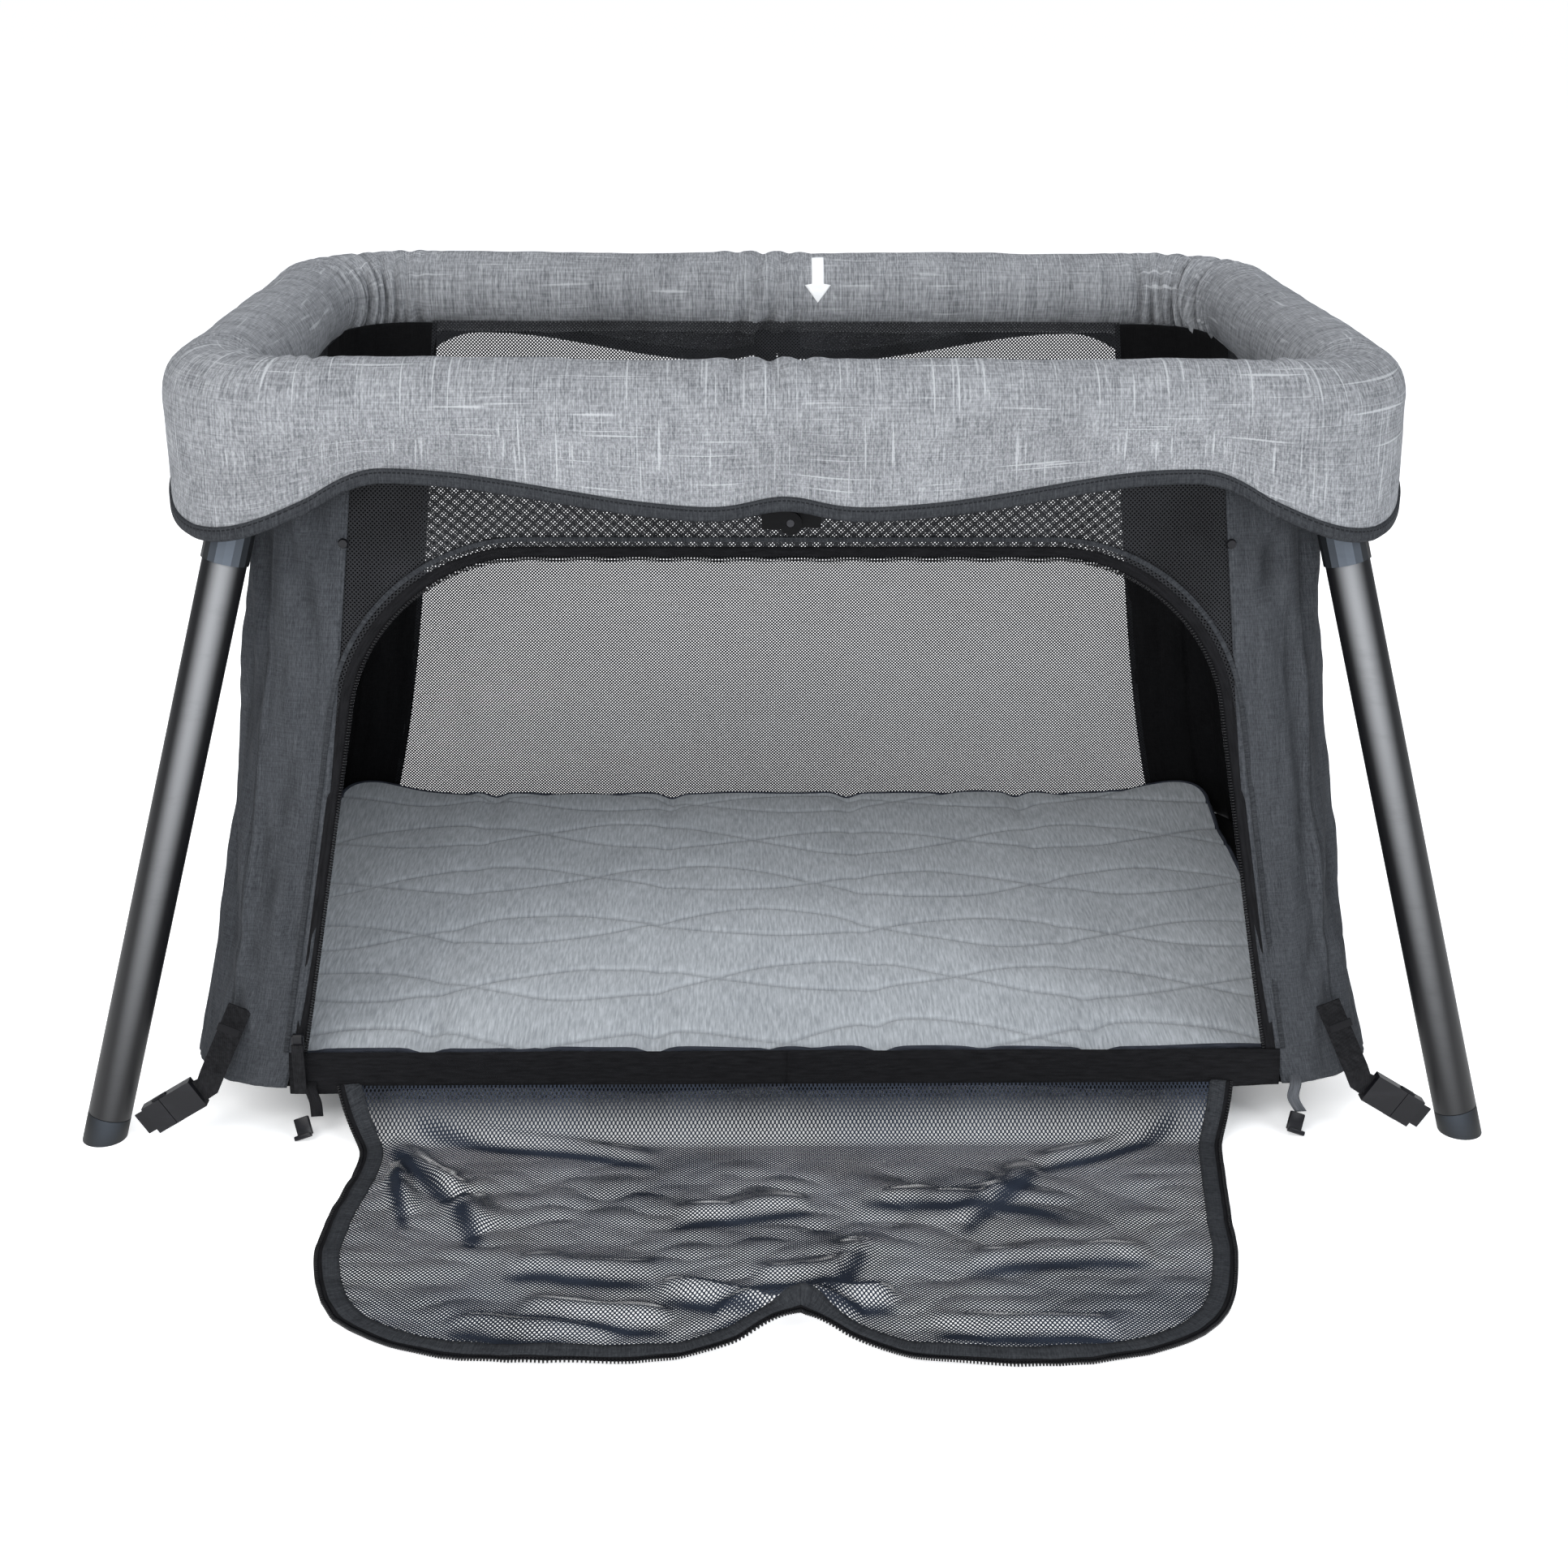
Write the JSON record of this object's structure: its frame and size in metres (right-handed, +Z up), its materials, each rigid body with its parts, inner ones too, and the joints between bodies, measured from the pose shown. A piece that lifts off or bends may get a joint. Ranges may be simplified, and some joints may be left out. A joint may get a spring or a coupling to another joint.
{
  "type": "playpen",
  "caption": "Folding travel playpen: padded rail on splayed tube legs, a hanging fabric sling with mesh walls, a zip door lying open and a thin quilted mattress.",
  "frame": {"origin": "on the floor under the middle of the whole object's bounding box, the open door counted in", "axes": "+X along the long rails, from the viewer's left to right with the door in front; +Y from the door to the back; +Z up"},
  "size_m": [1.1722, 1.0365, 0.64],
  "materials": {
    "rail_fabric": "heathered woven polyester",
    "charcoal_fabric": "heathered woven polyester",
    "black_mesh": "knitted mesh with small holes",
    "mattress_fabric": "quilted heathered jersey",
    "black_webbing": "woven webbing",
    "black_plastic": "moulded, fine grain",
    "collar_plastic": "moulded, satin",
    "button_plastic": "moulded, satin",
    "leg_tube_finish": "satin black anodised",
    "rail_tube_finish": "black powder coat",
    "pin_steel": "zinc plated"
  },
  "bodies": {
    "left_frame": {"rail_tube_left": "rail_tube_finish", "rail_cover_left": "rail_fabric", "corner_bracket_front_left": "black_plastic", "leg_pin_front_left": "pin_steel", "middle_hinge_left_front": "black_plastic", "corner_panel_front_left": "charcoal_fabric", "corner_bracket_back_left": "black_plastic", "leg_pin_back_left": "pin_steel", "middle_hinge_left_back": "black_plastic", "corner_panel_back_left": "charcoal_fabric", "mesh_end_left": "black_mesh", "mesh_back_left": "black_mesh", "mesh_front_left": "black_mesh", "hinge_pin_front": "pin_steel", "hinge_pin_back": "pin_steel", "floor_sheet": "charcoal_fabric"},
    "right_frame": {"rail_tube_right": "rail_tube_finish", "rail_cover_right": "rail_fabric", "corner_bracket_front_right": "black_plastic", "leg_pin_front_right": "pin_steel", "middle_hinge_right_front": "black_plastic", "corner_panel_front_right": "charcoal_fabric", "corner_bracket_back_right": "black_plastic", "leg_pin_back_right": "pin_steel", "middle_hinge_right_back": "black_plastic", "corner_panel_back_right": "charcoal_fabric", "mesh_end_right": "black_mesh", "mesh_back_right": "black_mesh", "mesh_front_right": "black_mesh"},
    "leg_front_left": {"leg_knuckle_front_left": "collar_plastic", "leg_tube_front_left": "leg_tube_finish", "foot_cap_front_left": "black_plastic", "buckle_plug_front_left": "black_plastic"},
    "buckle_front_left": {"buckle_socket_front_left": "black_plastic", "corner_strap_front_left": "black_webbing"},
    "leg_front_right": {"leg_knuckle_front_right": "collar_plastic", "leg_tube_front_right": "leg_tube_finish", "foot_cap_front_right": "black_plastic", "buckle_plug_front_right": "black_plastic"},
    "buckle_front_right": {"buckle_socket_front_right": "black_plastic", "corner_strap_front_right": "black_webbing"},
    "leg_back_left": {"leg_knuckle_back_left": "collar_plastic", "leg_tube_back_left": "leg_tube_finish", "foot_cap_back_left": "black_plastic", "buckle_plug_back_left": "black_plastic"},
    "buckle_back_left": {"buckle_socket_back_left": "black_plastic", "corner_strap_back_left": "black_webbing"},
    "leg_back_right": {"leg_knuckle_back_right": "collar_plastic", "leg_tube_back_right": "leg_tube_finish", "foot_cap_back_right": "black_plastic", "buckle_plug_back_right": "black_plastic"},
    "buckle_back_right": {"buckle_socket_back_right": "black_plastic", "corner_strap_back_right": "black_webbing"},
    "door": {"door": "black_mesh"},
    "zip_slider": {"zip_slider": "pin_steel"},
    "zip_pull": {"zip_pull": "black_webbing"},
    "mattress": {"mattress": "mattress_fabric"},
    "lock_button_front": {"lock_button_front": "button_plastic"},
    "lock_button_back": {"lock_button_back": "button_plastic"}
  },
  "joints": [
    {"name": "frame_fold", "type": "hinge", "parent": "left_frame", "child": "right_frame", "pos_m": [0, 0.16549, 0.517], "axis": [0, 1, 0], "range_deg": [0, 170], "deforming": ["rail_cover_left", "rail_cover_right", "floor_sheet", "mattress", "door", "corner_panel_front_left", "corner_panel_front_right", "corner_panel_back_left", "corner_panel_back_right", "mesh_end_left", "mesh_end_right", "mesh_back_left", "mesh_back_right", "mesh_front_left", "mesh_front_right"]},
    {"name": "leg_fold_front_left", "type": "hinge", "parent": "left_frame", "child": "leg_front_left", "pos_m": [-0.42505, -0.10457, 0.541], "axis": [0.9651, -0.0967, -0.2434], "range_deg": [0, 92.18], "deforming": ["buckle_plug_front_left", "buckle_socket_front_left", "corner_strap_front_left"]},
    {"name": "buckle_release_front_left", "type": "slide", "parent": "leg_front_left", "child": "buckle_front_left", "axis": [0.848, 0, 0.5299], "range_m": [0, 0.022]},
    {"name": "leg_fold_front_right", "type": "hinge", "parent": "right_frame", "child": "leg_front_right", "pos_m": [0.42505, -0.10457, 0.541], "axis": [0.9644, -0.0463, 0.2604], "range_deg": [0, 90.01], "deforming": ["buckle_plug_front_right", "buckle_socket_front_right", "corner_strap_front_right"]},
    {"name": "buckle_release_front_right", "type": "slide", "parent": "leg_front_right", "child": "buckle_front_right", "axis": [-0.848, 0, 0.5299], "range_m": [0, 0.022]},
    {"name": "leg_fold_back_left", "type": "hinge", "parent": "left_frame", "child": "leg_back_left", "pos_m": [-0.42505, 0.43554, 0.541], "axis": [-0.9644, 0.0463, 0.2604], "range_deg": [0, 90.01], "deforming": ["buckle_plug_back_left", "buckle_socket_back_left", "corner_strap_back_left"]},
    {"name": "buckle_release_back_left", "type": "slide", "parent": "leg_back_left", "child": "buckle_back_left", "axis": [0.848, 0, 0.5299], "range_m": [0, 0.022]},
    {"name": "leg_fold_back_right", "type": "hinge", "parent": "right_frame", "child": "leg_back_right", "pos_m": [0.42505, 0.43554, 0.541], "axis": [-0.9651, 0.0967, -0.2434], "range_deg": [0, 92.18], "deforming": ["buckle_plug_back_right", "buckle_socket_back_right", "corner_strap_back_right"]},
    {"name": "buckle_release_back_right", "type": "slide", "parent": "leg_back_right", "child": "buckle_back_right", "axis": [-0.848, 0, 0.5299], "range_m": [0, 0.022]},
    {"name": "door_swing", "type": "hinge", "parent": "left_frame", "child": "door", "pos_m": [0, -0.15976, 0.04], "axis": [-1, 0, 0], "range_deg": [0, 97]},
    {"name": "zip_run", "type": "slide", "parent": "left_frame", "child": "zip_slider", "axis": [0.1692, 0.1443, 0.975], "range_m": [0, 0.2554]},
    {"name": "zip_pull_swing", "type": "hinge", "parent": "zip_slider", "child": "zip_pull", "pos_m": [-0.404, -0.16416, 0.082], "axis": [-1, 0, 0], "range_deg": [0, 120]},
    {"name": "mattress_lift", "type": "slide", "parent": "left_frame", "child": "mattress", "axis": [0, 0, 1], "range_m": [0, 0.2]},
    {"name": "lock_press_front", "type": "slide", "parent": "left_frame", "child": "lock_button_front", "axis": [0, 0, 1], "range_m": [0, 0.004], "stiffness_N_per_m": 300, "springref_m": -0.002},
    {"name": "lock_press_back", "type": "slide", "parent": "left_frame", "child": "lock_button_back", "axis": [0, 0, 1], "range_m": [0, 0.004], "stiffness_N_per_m": 300, "springref_m": -0.002}
  ],
  "couplings": [
    {"joint": "leg_fold_front_left", "follows": "frame_fold", "ratio": 0.54221},
    {"joint": "leg_fold_front_right", "follows": "frame_fold", "ratio": 0.52948},
    {"joint": "leg_fold_back_left", "follows": "frame_fold", "ratio": 0.52948},
    {"joint": "leg_fold_back_right", "follows": "frame_fold", "ratio": 0.54221}
  ]
}
